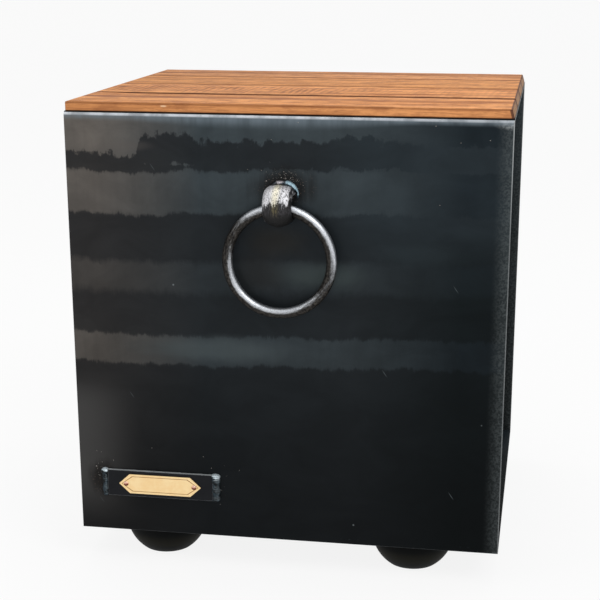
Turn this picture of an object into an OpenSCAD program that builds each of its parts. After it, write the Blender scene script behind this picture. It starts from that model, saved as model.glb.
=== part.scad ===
/* [Box] */
// Width of the box, between its open ends
box_w = 500; // [420:5:700]
// Depth of the box, front panel to rear panel
box_d = 440; // [380:5:600]
// Height of the steel box, without feet and seat
box_h = 500; // [400:5:600]
// Thickness of the sheet steel
sheet = 3; // [2:0.5:4]
// Outer radius of the folds along the top
fold_r = 5; // [4.5:0.5:8]

/* [Seat] */
// Thickness of the boards
slat_t = 10.5; // [9:0.5:22]
// Width of each board but the rear one
slat_w = 112; // [90:1:115]
// Gap between neighbouring boards
slat_gap = 1; // [0.5:0.5:4]
// Distance from the board ends to the open ends of the box
seat_end_inset = 0.5; // [0:0.5:10]
// Distance from the outer boards to the outside of the panels
seat_side_inset = 2; // [1:0.5:10]
// Chamfer around the upper edges of each board
slat_chamfer = 2.2; // [0.5:0.1:3]
// Cut across the corners at the right end of each board
slat_corner_cut = 2; // [1:0.5:8]
// How much shorter a board is along its top, by the slope of its right end
slat_end_slope = 3; // [0.5:0.5:6]

/* [Feet] */
// Diameter of the domed feet
foot_d = 100; // [80:2:110]
// Height of the feet, floor to box
foot_h = 40; // [30:1:44]
// Wall thickness of the pressed domes
foot_wall = 4; // [2:0.5:6]
// Distance from the middle of the box to the centres of the feet
foot_spread = 153; // [110:1:190]
// Distance that all four feet sit to the left of the middle
foot_shift = 7.5; // [0:0.5:8]
// Distance from the centre of a foot to the outside of the panel
foot_inset_y = 60; // [56:1:120]

/* [Handles] */
// Diameter of the ring along the middle of its bar
ring_d = 118; // [90:2:150]
// Diameter of the round bar of the ring
ring_bar = 12; // [8:1:14]
// Distance from the top of the box down to the swing axis
handle_drop = 101; // [80:1:200]
// Distance that the front handle sits to the left of the middle
handle_shift = 3; // [0:0.5:20]
// Distance from the panel to the middle of the hanging ring
ring_standoff = 14; // [12:0.5:20]
// Width of the half-round bar of the eye
eye_w = 32; // [24:1:36]
// Inner radius of the bent eye
eye_bore_r = 12; // [11.5:0.5:14]
// Thickness of the half-round bar at its crown
eye_crown = 11; // [8:0.5:14]
// Thickness of the half-round bar at its edges
eye_edge = 2.5; // [2:0.5:5]
// Height of the middle of the eye above the swing axis
eye_rise = 3; // [2:0.1:3]

/* [Label strap] */
// Length of the flat bar
strap_l = 128; // [110:1:180]
// Height of the flat bar
strap_h = 32; // [26:1:40]
// Thickness of the flat bar
strap_t = 4; // [3:0.5:6]
// Distance from the left open end of the box to the middle of the bar
strap_from_end = 99; // [80:1:250]
// Height of the middle of the bar above the bottom of the box
strap_rise = 61; // [30:1:200]
// Length of the brass tag, tip to tip
tag_l = 100; // [70:1:105]
// Height of the brass tag
tag_h = 24; // [16:1:26]
// Length of each pointed end of the tag
tag_point = 13; // [8:1:16]
// Thickness of the tag
tag_t = 1.2; // [1:0.1:2]
// Distance between the two rivets
rivet_spacing = 83; // [50:1:88]

/* [Hidden] */
$fn = 96;
past = 1;                                   // how far a cutter runs past what it cuts

steel = "#34383a";
bare_steel = "#8f9294";
weld_metal = "#7d929b";
hardwood = "#c98a55";
brass = "#dcb56e";
copper = "#b9755a";

seat_z = foot_h + box_h;                    // the boards lie on the top plate
slat_count = 4;
seat_w = box_w - 2 * seat_end_inset;
seat_d = box_d - 2 * seat_side_inset;
slat_pitch = slat_w + slat_gap;
slat_low_chamfer = 1;

screw_x = box_w / 2 - 60;                   // the two rows of screws
screw_r = 2.1;
screw_hole_r = 2.6;
screw_pilot_r = 2.15;
screw_bite = 8;
screw_head_r = 4.2;
screw_head_h = 2.4;
screw_drive_r = 1.7;
screw_drive_depth = 1.4;

stitch_l = 40;
stitch_leg = 5;
stitch_count = 4;
foot_bead = 4;

swing_z = seat_z - handle_drop;
eye_z = swing_z + eye_rise;
eye_half_w = eye_w / 2;
eye_rise_of_crown = eye_crown - eye_edge;
eye_arc_r = (pow(eye_half_w, 2) + pow(eye_rise_of_crown, 2)) / (2 * eye_rise_of_crown);
eye_arc_centre = eye_bore_r + eye_crown - eye_arc_r;
eye_dab_count = [8, 4];                     // upper leg, lower leg
eye_dab_turn = 15;
eye_dab_r = 4.6;
eye_dab_h = 4.2;

strap_x = strap_from_end - box_w / 2;
strap_z = foot_h + strap_rise;
strap_dab_count = 6;
strap_dab_pitch = 5;
strap_dab_h = 4.6;
strap_dab_r = [5.6, 7.2];                   // left end, right end
border_inset = 2.4;
border_w = 0.8;
border_depth = 0.3;
rivet_head_r = 3;
rivet_head_h = 1.8;
rivet_shank_r = 1.5;
rivet_hole_r = 1.55;

function slat_width(i) = i < slat_count - 1 ? slat_w : seat_d - (slat_count - 1) * slat_pitch;
function slat_y(i) = i * slat_pitch + (slat_width(i) - seat_d) / 2;

// An outline in Y and Z, drawn out along X
module along_x(length) rotate([90, 0, 90]) linear_extrude(height = length, center = true) children();

// An outline in X and Z, drawn out along Y
module along_y(length) rotate([90, 0, 0]) linear_extrude(height = length, center = true) children();

// What is on the front panel, turned round to the rear panel
module on_rear() rotate([0, 0, 180]) children();

// A round cap standing on the XY plane
module cap(base_r, h) {
    sphere_r = (pow(base_r, 2) + pow(h, 2)) / (2 * h);
    intersection() {
        translate([0, 0, h - sphere_r]) sphere(r = sphere_r);
        cylinder(r = base_r + past, h = h + past);
    }
}

// Rectangle standing on the X axis with its two upper corners rounded
module arch(w, h, r) {
    translate([-w / 2, 0]) square([w, h - r]);
    translate([-w / 2 + r, 0]) square([w - 2 * r, h]);
    for (side = [-1, 1]) translate([side * (w / 2 - r), h - r]) circle(r = r);
}

// Every screw place of one board
module at_screws(i) {
    for (end = [-1, 1], edge = [-1, 1])
        translate([end * screw_x, slat_y(i) + edge * slat_width(i) / 4, seat_z]) children();
}

module steel_shell() {
    color(steel) difference() {
        translate([0, 0, foot_h]) along_x(box_w) difference() {
            arch(box_d, box_h, fold_r);
            translate([0, -past]) arch(box_d - 2 * sheet, box_h - sheet + past, fold_r - sheet);
        }
        for (i = [0 : slat_count - 1]) at_screws(i)
            translate([0, 0, -sheet - past]) cylinder(r = screw_hole_r, h = sheet + 2 * past);
    }
}

module base_plate() {
    color(steel) translate([-box_w / 2, -box_d / 2 + sheet, foot_h])
        cube([box_w, box_d - 2 * sheet, sheet]);
}

// Stitches along the inside corners of the base plate
module base_welds() {
    stitch_pitch = (box_w - 2 * stitch_l) / (stitch_count - 1);
    color(weld_metal) for (side = [-1, 1], i = [0 : stitch_count - 1])
        translate([
            (i - (stitch_count - 1) / 2) * stitch_pitch,
            side * (box_d / 2 - sheet),
            foot_h + sheet
        ])
        along_x(stitch_l) intersection() {
            circle(r = stitch_leg);
            translate([side < 0 ? 0 : -stitch_leg, 0]) square(stitch_leg);
        }
}

// Section of a board with chamfered edges, standing on the X axis
module board(w, t, low, high) {
    polygon([
        [-w / 2 + low, 0], [w / 2 - low, 0], [w / 2, low], [w / 2, t - high],
        [w / 2 - high, t], [-w / 2 + high, t], [-w / 2, t - high], [-w / 2, low]
    ]);
}

// A board seen from the front, its right end sloping and its left end square
module board_side(l, t, low, slope) {
    polygon([[-l / 2, 0], [l / 2, 0], [l / 2, low], [l / 2 - slope, t], [-l / 2, t]]);
}

// A board seen from above, both corners cut off at its right end
module board_plan(l, w, cut) {
    polygon([
        [-l / 2, -w / 2], [l / 2 - cut, -w / 2], [l / 2, cut - w / 2],
        [l / 2, w / 2 - cut], [l / 2 - cut, w / 2], [-l / 2, w / 2]
    ]);
}

module slat(i) {
    color(hardwood) difference() {
        translate([0, slat_y(i), seat_z]) intersection() {
            along_x(seat_w) board(slat_width(i), slat_t, slat_low_chamfer, slat_chamfer);
            along_y(slat_width(i)) board_side(seat_w, slat_t, slat_low_chamfer, slat_end_slope);
            linear_extrude(height = slat_t) board_plan(seat_w, slat_width(i), slat_corner_cut);
        }
        at_screws(i) translate([0, 0, -past]) cylinder(r = screw_pilot_r, h = screw_bite + past);
    }
}

module slat_screws() {
    color(bare_steel) for (i = [0 : slat_count - 1]) at_screws(i) translate([0, 0, -sheet]) {
        difference() {
            translate([0, 0, -screw_head_h])
                cylinder(r1 = screw_head_r * 0.7, r2 = screw_head_r, h = screw_head_h);
            translate([0, 0, -screw_head_h - past])
                cylinder(r = screw_drive_r, h = screw_drive_depth + past, $fn = 6);
        }
        cylinder(r = screw_r, h = sheet + screw_bite - 2);
        translate([0, 0, sheet + screw_bite - 2]) cylinder(r1 = screw_r, r2 = 0.4, h = 2);
    }
}

module at_foot(side, end) {
    translate([side * foot_spread - foot_shift, end * (box_d / 2 - foot_inset_y), foot_h]) children();
}

// A dome hanging below the XY plane, cut flat underneath
module flat_dome(r, h) {
    intersection() {
        sphere(r = r);
        translate([0, 0, -h]) cylinder(r = r + past, h = h);
    }
}

module foot(side, end) {
    color(steel) at_foot(side, end) difference() {
        flat_dome(foot_d / 2, foot_h);
        flat_dome(foot_d / 2 - foot_wall, foot_h - foot_wall);
    }
}

module foot_welds() {
    color(weld_metal) for (side = [-1, 1], end = [-1, 1]) at_foot(side, end) difference() {
        rotate_extrude() intersection() {
            translate([foot_d / 2 - past, 0]) circle(r = foot_bead);
            translate([foot_d / 2 - past, -foot_bead]) square(foot_bead);
        }
        sphere(r = foot_d / 2);
    }
}

// Half-round section of the eye: X is the distance from the middle of the bend
module eye_section() {
    intersection() {
        translate([eye_arc_centre, 0]) circle(r = eye_arc_r);
        translate([eye_bore_r, -eye_half_w]) square([eye_crown + past, eye_w]);
    }
}

// The eye lies in its own frame: bent about Z, legs along -Y, top leg on +X
module eye() {
    color(bare_steel) translate([-handle_shift, -box_d / 2 - ring_standoff, eye_z])
        rotate([180, 0, 0]) rotate([0, 90, 0]) {
            rotate_extrude(angle = 180) eye_section();
            for (leg = [0, 1]) mirror([leg, 0, 0])
                rotate([90, 0, 0]) linear_extrude(height = ring_standoff) eye_section();
        }
}

// A row of dabs over the crown of one leg, standing on the XY plane
module crown_bead(dabs) {
    difference() {
        for (i = [0 : dabs - 1]) rotate([0, 0, 90 + (i - (dabs - 1) / 2) * eye_dab_turn])
            translate([eye_arc_r + eye_dab_r / 8, 0, 0]) cap(eye_dab_r, eye_dab_h);
        translate([0, 0, -past]) cylinder(r = eye_arc_r, h = eye_dab_h + 2 * past);
    }
}

module eye_welds() {
    color(weld_metal) translate([-handle_shift, -box_d / 2, eye_z]) for (leg = [0, 1]) mirror([0, 0, leg])
        translate([0, 0, eye_arc_centre]) rotate([90, 0, 0]) crown_bead(eye_dab_count[leg]);
}

module ring() {
    color(bare_steel) translate([-handle_shift, -box_d / 2 - ring_standoff, swing_z - ring_d / 2])
        rotate([90, 0, 0]) rotate_extrude() translate([ring_d / 2, 0]) circle(r = ring_bar / 2);
}

// The strap's own frame: X along it, Z up, Y = 0 on the front panel
module at_strap() {
    translate([strap_x, -box_d / 2, strap_z]) children();
}

module strap_blank() {
    translate([-strap_l / 2, -strap_t, -strap_h / 2]) cube([strap_l, strap_t, strap_h]);
}

// Both rivet holes, from the panel outwards
module rivet_holes() {
    for (side = [-1, 1]) translate([side * rivet_spacing / 2, past, 0]) rotate([90, 0, 0])
        cylinder(r = rivet_hole_r, h = strap_t + tag_t + 2 * past);
}

module label_strap() {
    color(steel) at_strap() difference() {
        strap_blank();
        rivet_holes();
    }
}

// A row of dabs over each end of the strap
module strap_welds() {
    color(weld_metal) at_strap() difference() {
        for (end = [0, 1], i = [0 : strap_dab_count - 1])
            translate([
                (end == 0 ? -1 : 1) * (strap_l / 2 + strap_dab_r[end] / 3),
                0,
                (i - (strap_dab_count - 1) / 2) * strap_dab_pitch
            ])
            rotate([90, 0, 0]) cap(strap_dab_r[end], strap_dab_h);
        strap_blank();
    }
}

// Long hexagon with its points to the left and right
module tag_outline(inset) {
    half_l = tag_l / 2 - inset * 1.2;
    half_h = tag_h / 2 - inset;
    shoulder = half_l - tag_point;
    polygon([
        [-half_l, 0], [-shoulder, -half_h], [shoulder, -half_h],
        [half_l, 0], [shoulder, half_h], [-shoulder, half_h]
    ]);
}

module tag_plate() {
    color(brass) at_strap() difference() {
        translate([0, -strap_t, 0]) rotate([90, 0, 0]) difference() {
            linear_extrude(height = tag_t) tag_outline(0);
            translate([0, 0, tag_t - border_depth]) linear_extrude(height = tag_t) difference() {
                tag_outline(border_inset);
                tag_outline(border_inset + border_w);
            }
        }
        rivet_holes();
    }
}

module tag_rivets() {
    color(copper) at_strap() for (side = [-1, 1])
        translate([side * rivet_spacing / 2, 0, 0]) rotate([90, 0, 0]) {
            cylinder(r = rivet_shank_r, h = strap_t + tag_t);
            translate([0, 0, strap_t + tag_t]) cap(rivet_head_r, rivet_head_h);
        }
}

steel_shell();
base_plate();
base_welds();
slat(0);  // slat_front
slat(1);  // slat_second
slat(2);  // slat_third
slat(3);  // slat_rear
slat_screws();
foot(-1, -1);  // foot_front_left
foot(1, -1);  // foot_front_right
foot(-1, 1);  // foot_rear_left
foot(1, 1);  // foot_rear_right
foot_welds();
eye();  // eye_front
on_rear() eye();  // eye_rear
eye_welds();  // eye_welds_front
on_rear() eye_welds();  // eye_welds_rear
ring();  // ring_front
on_rear() ring();  // ring_rear
label_strap();
strap_welds();
tag_plate();
tag_rivets();
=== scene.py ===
import math
import random

import bmesh
import bpy
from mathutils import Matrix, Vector, noise


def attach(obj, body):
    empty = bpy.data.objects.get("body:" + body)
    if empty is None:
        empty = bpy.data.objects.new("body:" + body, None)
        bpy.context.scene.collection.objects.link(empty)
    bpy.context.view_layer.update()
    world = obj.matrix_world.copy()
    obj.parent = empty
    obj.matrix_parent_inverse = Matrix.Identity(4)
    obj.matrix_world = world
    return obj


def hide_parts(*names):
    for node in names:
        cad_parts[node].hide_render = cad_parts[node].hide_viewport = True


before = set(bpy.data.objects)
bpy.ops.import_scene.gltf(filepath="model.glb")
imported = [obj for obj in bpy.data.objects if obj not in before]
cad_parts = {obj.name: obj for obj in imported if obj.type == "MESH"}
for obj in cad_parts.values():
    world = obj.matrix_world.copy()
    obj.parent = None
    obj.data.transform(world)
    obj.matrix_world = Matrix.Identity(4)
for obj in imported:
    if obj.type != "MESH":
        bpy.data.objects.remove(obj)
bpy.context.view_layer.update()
print("frame loaded,", len(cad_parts), "CAD pieces")

box = {"side": 0.25, "panel": -0.22, "low": 0.04, "high": 0.54}    # half width, front face, bottom and top

# Camera

cameraView = {
    "position": (0.2884, -1.7465, 0.7152),
    "azimuth": 9.53,                      # degrees to the right of straight on
    "pitch": -16.26,                      # degrees, looking down
    "lens": 84.9,
    "sensor": 36.0,
    "shift": (-0.0208, 0.1002),           # the photograph is cut off centre
}


def setCamera():
    turn = math.radians(cameraView["azimuth"])
    pitch = math.radians(cameraView["pitch"])
    ahead = Vector((
        -math.sin(turn) * math.cos(pitch),
        math.cos(turn) * math.cos(pitch),
        math.sin(pitch),
    ))
    data = bpy.data.cameras.new("photoCamera")
    data.lens = cameraView["lens"]
    data.sensor_width = cameraView["sensor"]
    data.shift_x, data.shift_y = cameraView["shift"]
    data.clip_end = 200
    camera = bpy.data.objects.new("photoCamera", data)
    bpy.context.scene.collection.objects.link(camera)
    camera.location = cameraView["position"]
    camera.rotation_mode = "QUATERNION"
    camera.rotation_quaternion = ahead.to_track_quat("-Z", "Y")
    bpy.context.scene.camera = camera


setCamera()
print("camera set")

# Short ways to write shader nodes


def hexColor(text):
    # a colour as it is seen, turned into the linear values that the sockets take
    values = []
    for start in (0, 2, 4):
        part = int(text[start:start + 2], 16) / 255
        values.append(part / 12.92 if part <= 0.04045 else ((part + 0.055) / 1.055) ** 2.4)
    return (*values, 1.0)


def plug(value, socket):
    # a socket is linked, a number or a colour is written in, and text is a colour in hex
    if isinstance(value, bpy.types.NodeSocket):
        socket.id_data.links.new(value, socket)
    else:
        socket.default_value = hexColor(value) if isinstance(value, str) else value


def addNode(kind, values, **settings):
    # the node goes into the tree that the first socket among its values comes from
    tree = next(value.id_data for value in values.values() if isinstance(value, bpy.types.NodeSocket))
    node = tree.nodes.new(kind)
    for name, value in settings.items():
        setattr(node, name, value)
    for name, value in values.items():
        plug(value, node.inputs[name])
    return node


def maths(operation, first, second=0.0, third=0.0, clamp=False):
    values = {0: first, 1: second, 2: third}
    return addNode("ShaderNodeMath", values, operation=operation, use_clamp=clamp).outputs[0]


def vectorMaths(operation, first, second=(0, 0, 0)):
    outputs = addNode("ShaderNodeVectorMath", {0: first, 1: second}, operation=operation).outputs
    return outputs["Value" if operation in ("DOT_PRODUCT", "LENGTH") else "Vector"]


def plus(first, second):
    return maths("ADD", first, second)


def minus(first, second):
    return maths("SUBTRACT", first, second)


def times(*values):
    result = values[0]
    for value in values[1:]:
        result = maths("MULTIPLY", result, value)
    return result


def scaled(value, factor, start):
    return maths("MULTIPLY_ADD", value, factor, start)


def swayed(value, cloudy, reach):
    # the value moved up and down by a noise whose middle is 0.5
    return scaled(minus(cloudy, 0.5), reach, value)


def spread(value, low, high):
    # 0 at low and 1 at high, in a straight line
    values = {"Value": value, "From Min": low, "From Max": high}
    return addNode("ShaderNodeMapRange", values).outputs["Result"]


def rise(value, low, high, bottom=0.0, top=1.0):
    # smooth step from bottom at low to top at high
    values = {"Value": value, "From Min": low, "From Max": high, "To Min": bottom, "To Max": top}
    return addNode("ShaderNodeMapRange", values, interpolation_type="SMOOTHSTEP").outputs["Result"]


def fall(value, low, high, top=1.0):
    return rise(value, low, high, top, 0.0)


def hump(value, low, lowEnd, highStart, high):
    # 1 between lowEnd and highStart, falling to 0 outside
    return times(rise(value, low, lowEnd), fall(value, highStart, high))


def blendColor(factor, first, second, mode="MIX"):
    values = {0: factor, 6: first, 7: second}
    return addNode("ShaderNodeMix", values, data_type="RGBA", blend_type=mode).outputs[2]


def blendValue(factor, first, second):
    return addNode("ShaderNodeMix", {0: factor, 2: first, 3: second}, data_type="FLOAT").outputs[0]


def shaded(color, level):
    return blendColor(1.0, color, joined(level, level, level), "MULTIPLY")


def layered(color, palette, **amounts):
    # colours of a finish laid over each other in turn, each as strongly as its amount says
    for name, amount in amounts.items():
        color = blendColor(amount, color, palette[name])
    return color


def ramp(factor, stops):
    # stops pair a place with a colour in hex or a grey tone
    node = addNode("ShaderNodeValToRGB", {"Fac": factor})
    elements = node.color_ramp.elements
    while len(elements) < len(stops):
        elements.new(0.5)
    for element, (place, tone) in zip(elements, sorted(stops)):
        element.position = place
        element.color = hexColor(tone) if isinstance(tone, str) else (tone, tone, tone, 1.0)
    return node.outputs["Color"]


def stretch(vector, scale, offset=(0, 0, 0), turn=(0, 0, 0)):
    values = {"Vector": vector, "Location": offset, "Rotation": turn, "Scale": scale}
    return addNode("ShaderNodeMapping", values).outputs["Vector"]


def cloud(vector, scale, detail, rough, warp=0.0, offset=(0, 0, 0)):
    # noise of one scale, or drawn out where the scale has a value for each axis
    if isinstance(scale, tuple):
        vector, scale = stretch(vector, scale, offset), 1.0
    values = {"Vector": vector, "Scale": scale, "Detail": detail, "Roughness": rough, "Distortion": warp}
    return addNode("ShaderNodeTexNoise", values).outputs[0]


def axes(vector):
    return addNode("ShaderNodeSeparateXYZ", {0: vector}).outputs


def joined(x, y, z):
    return addNode("ShaderNodeCombineXYZ", {0: x, 1: y, 2: z}).outputs[0]


def frontward(y):
    # 1 on the front side and -1 on the rear one, where the same handle is turned round
    return times(maths("SIGN", y), -1.0)


def around(here, centre, reach):
    # distance from a place, counted in its own reach along X, Y and Z
    return vectorMaths("LENGTH", vectorMaths("DIVIDE", vectorMaths("SUBTRACT", here, centre), reach))


def newGroup(name, inputs, outputs):
    # an input is a number where its first value is one and a vector otherwise, an output is a number
    group = bpy.data.node_groups.new(name, "ShaderNodeTree")
    for label, value in inputs.items():
        kind = "NodeSocketFloat" if isinstance(value, float) else "NodeSocketVector"
        socket = group.interface.new_socket(name=label, in_out="INPUT", socket_type=kind)
        if value is not None:
            socket.default_value = value
    for label in outputs:
        group.interface.new_socket(name=label, in_out="OUTPUT", socket_type="NodeSocketFloat")
    return group, group.nodes.new("NodeGroupInput").outputs, group.nodes.new("NodeGroupOutput").inputs


def placed(group, here, **values):
    node = here.id_data.nodes.new("ShaderNodeGroup")
    node.node_tree = group
    for name, value in {"Vector": here, **values}.items():
        plug(value, node.inputs[name])
    return node.outputs


# Effects that several finishes share


def makeEdgeWear():
    group, given, result = newGroup(
        "edgeWear", {"Vector": None, "Width": 0.001, "Breakup": 300.0, "Amount": 0.5}, ["Mask"])
    bevel = group.nodes.new("ShaderNodeBevel")
    bevel.samples = 6
    plug(given["Width"], bevel.inputs["Radius"])
    flat = group.nodes.new("ShaderNodeNewGeometry").outputs["Normal"]
    sharp = minus(1.0, vectorMaths("DOT_PRODUCT", bevel.outputs[0], flat))
    patches = minus(cloud(given["Vector"], given["Breakup"], 4, 0.65), 0.5)
    uneven = scaled(times(patches, given["Amount"]), 0.5, sharp)
    plug(rise(uneven, 0.05, 0.20), result["Mask"])
    return group


def makeFlecks():
    # sparse spots, or scratches where Stretch is uneven
    group, given, result = newGroup("flecks", {
        "Vector": None, "Stretch": (100, 100, 100), "Turn": (0, 0, 0), "Size": 0.2, "Share": 0.1}, ["Mask"])
    turned = addNode("ShaderNodeVectorRotate", {"Vector": given["Vector"], "Rotation": given["Turn"]},
                     rotation_type="EULER_XYZ").outputs[0]
    drawn = vectorMaths("MULTIPLY", turned, given["Stretch"])
    cells = addNode("ShaderNodeTexVoronoi", {"Vector": drawn, "Scale": 1.0, "Randomness": 1.0}).outputs
    near = spread(cells["Distance"], given["Size"], 0.0)
    picked = maths("LESS_THAN", axes(cells["Color"])[0], given["Share"])
    plug(times(near, picked), result["Mask"])
    return group


def makeMottle():
    # cloudy patches and a fine tooth, for every metal
    group, given, result = newGroup(
        "mottle", {"Vector": None, "Patch": 30.0, "Tooth": 900.0}, ["Patches", "Tooth"])
    plug(cloud(given["Vector"], given["Patch"], 5, 0.6, 0.4), result["Patches"])
    plug(cloud(given["Vector"], given["Tooth"], 3, 0.6), result["Tooth"])
    return group


millScale = {
    # height of each band edge as a share of the sheet, how softly it fades, tone below it, tone above it
    "edges": [
        (0.428, 0.003, 0.06, 0.74), (0.498, 0.003, 0.72, 0.08), (0.602, 0.010, 0.04, 0.31),
        (0.672, 0.007, 0.33, 0.03), (0.780, 0.003, 0.02, 0.66), (0.876, 0.002, 0.78, 0.08),
        (0.942, 0.002, 0.05, 0.86),
    ],
    "bottomTone": 0.0,
    "topTone": 1.0,
    # how far the top edge is shifted along its run: share of the width, metres
    "topRun": [(0.0, -0.016), (0.15, -0.018), (0.18, 0.005), (0.26, 0.006), (0.30, -0.001), (0.54, -0.001),
               (0.66, 0.006), (0.80, 0.0)],
    "runReach": 0.02,                     # the most that a shift can be
    "runWander": 0.07,                    # how far the shifts stray along the width
    "lean": 0.004,                        # how far the lower bands rise from the left end to the right one
    "leanBetween": (-0.23, 0.18),
    "topFrom": 0.484,                     # above here is the top edge, which is broken the most
    "topSoft": 0.004,
    # waves in the edges, from long ones to hair-fine drips: reach on the lower edges and on the top one,
    # scale along each axis, detail, roughness
    "waves": [
        (0.016, 0.016, (12, 1, 4), 3, 0.5),
        (0.015, 0.036, (75, 3, 55), 4, 0.62),
        (0.006, 0.006, (430, 3, 40), 2, 0.6),
    ],
}


def makeMillScale():
    # dark and lighter bands that the rolling mill leaves across a sheet, with torn edges
    group, given, result = newGroup("millScale", {"Vector": None}, ["Tone"])
    x, y, z = axes(given["Vector"])
    flat = joined(x, times(y, 3.0), z)
    reach = millScale["runReach"]
    isTop = rise(z, millScale["topFrom"] - millScale["topSoft"], millScale["topFrom"])
    across = spread(x, -box["side"], box["side"])
    across = swayed(across, cloud(flat, (70, 3, 50), 4, 0.6, offset=(9.1, 0, 0)), millScale["runWander"])
    run = ramp(across, [(at, (shift + reach) / (2 * reach)) for at, shift in millScale["topRun"]])
    run = scaled(run, 2 * reach, -reach)
    lean = rise(x, *millScale["leanBetween"], -millScale["lean"], millScale["lean"])
    shift = blendValue(isTop, lean, run)
    for lower, upper, scale, detail, rough in millScale["waves"]:
        wave = minus(cloud(flat, scale, detail, rough, offset=(lower * 300, 0, 0)), 0.5)
        shift = scaled(wave, blendValue(isTop, lower, upper), shift)
    share = spread(minus(z, shift), box["low"], box["high"])
    stops = [(0.0, millScale["bottomTone"]), (1.0, millScale["topTone"])]
    for edge, soft, below, above in millScale["edges"]:
        stops += [(edge - soft, below), (edge + soft, above)]
    plug(ramp(share, stops), result["Tone"])
    return group


skyward = (0.45, -0.34, 0.83)             # the way that the sides of the bars and beads face where they are painted brightest, as painted highlights


def makeSkyward():
    # how much a side faces up and to the right, seen from the front and turned round for the rear handle; it
    # sets where highlights are painted
    group, given, result = newGroup("skyward", {"Normal": None, "Vector": None}, ["Facing"])
    front = frontward(axes(given["Vector"])[1])
    nx, ny, nz = axes(given["Normal"])
    turned = joined(times(nx, front), times(ny, front), nz)
    plug(vectorMaths("DOT_PRODUCT", turned, skyward), result["Facing"])
    return group


def makeRubbedBlack():
    # black forge scale rubbed back to bright metal where Lift raises it; the ring and eye feed Lift with
    # painted highlight and shade, so the bright parts are partly painted light; Along is the place in the
    # grain's own axes
    inputs = {"Along": None, "Vector": None, "Lift": 0.5, "Soft": 0.4, "Blotch": 210.0, "Contrast": 1.0}
    group, given, result = newGroup("rubbedBlack", inputs, ["Bright", "Height"])
    grain = minus(cloud(given["Along"], 1.0, 4, 0.65), 0.5)
    blotch = minus(cloud(given["Vector"], given["Blotch"], 4, 0.7), 0.5)
    both = scaled(grain, 1.5, times(blotch, 0.9))
    level = scaled(both, given["Contrast"], given["Lift"])
    pits = rise(cloud(given["Vector"], 1000.0, 3, 0.65), 0.52, 0.66)
    bright = rise(level, scaled(given["Soft"], -0.5, 0.5), scaled(given["Soft"], 0.5, 0.5))
    plug(times(bright, scaled(pits, -0.5, 1.0)), result["Bright"])
    plug(scaled(pits, -0.6, both), result["Height"])
    return group


woodGrain = {
    # each layer's scale along the axes, detail, roughness, and the noise between which it rises
    "Bands": ((1.8, 60, 90), 3, 0.5, 0.38, 0.62),
    "Clouds": ((30, 52, 90), 4, 0.72, 0.43, 0.62),
    "Streaks": ((3.5, 105, 210), 4, 0.65, 0.50, 0.64),
    "Hairs": ((11, 420, 620), 3, 0.65, 0.44, 0.60),
    "Pores": ((60, 1300, 1300), 2, 0.5, 0.54, 0.66),
}


def makeBoardGrain():
    # straight hardwood grain along X: slow colour bands, thin dark streaks, pores and figure
    group, given, result = newGroup("boardGrain", {"Vector": None, "Seed": 0.0}, [*woodGrain, "Figure"])
    here = given["Vector"]
    x, y, z = axes(here)
    slide = times(given["Seed"], 1.73)
    slow = cloud(joined(times(x, 3.5), slide, y), 1.0, 2, 0.4)
    bow = times(minus(slow, 0.5), 0.03)
    moved = joined(x, plus(y, bow), plus(z, slide))
    for label, (scale, detail, rough, low, high) in woodGrain.items():
        plug(rise(cloud(moved, scale, detail, rough), low, high), result[label])
    # dashes across the board where the grain runs out of the face
    ripple = scaled(x, 760.0, times(y, -60.0))
    wave = maths("SINE", scaled(cloud(here, (22, 14, 22), 2, 0.5), 14.0, ripple))
    broken = cloud(here, (50, 26, 50), 2, 0.6)
    plug(times(rise(wave, -0.7, 0.9), rise(broken, 0.32, 0.56)), result["Figure"])
    return group


edgeWear = makeEdgeWear()
flecks = makeFlecks()
mottle = makeMottle()
millScaleBands = makeMillScale()
skywardSide = makeSkyward()
rubbedBlack = makeRubbedBlack()
boardGrain = makeBoardGrain()
print("shared effects made")


# Finishes


def newFinish(name, **shaderValues):
    material = bpy.data.materials.new(name)
    material.use_nodes = True
    shader = material.node_tree.nodes["Principled BSDF"]
    for label, value in shaderValues.items():
        shader.inputs[label.replace("_", " ")].default_value = value
    # every piece keeps its origin at the origin of the frame, so these are metres in the frame at rest
    return material, material.node_tree.nodes.new("ShaderNodeTexCoord").outputs["Object"]


def normalAt(here):
    return here.node.outputs["Normal"]


def completed(material, color, rough, height, bump):
    # bump is how strongly the height shows and how high it is in metres
    shader = material.node_tree.nodes["Principled BSDF"]
    values = {"Height": height, "Strength": bump[0], "Distance": bump[1]}
    bumped = addNode("ShaderNodeBump", values).outputs[0]
    for value, label in ((color, "Base Color"), (rough, "Roughness"), (bumped, "Normal")):
        plug(value, shader.inputs[label])
    return material


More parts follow.
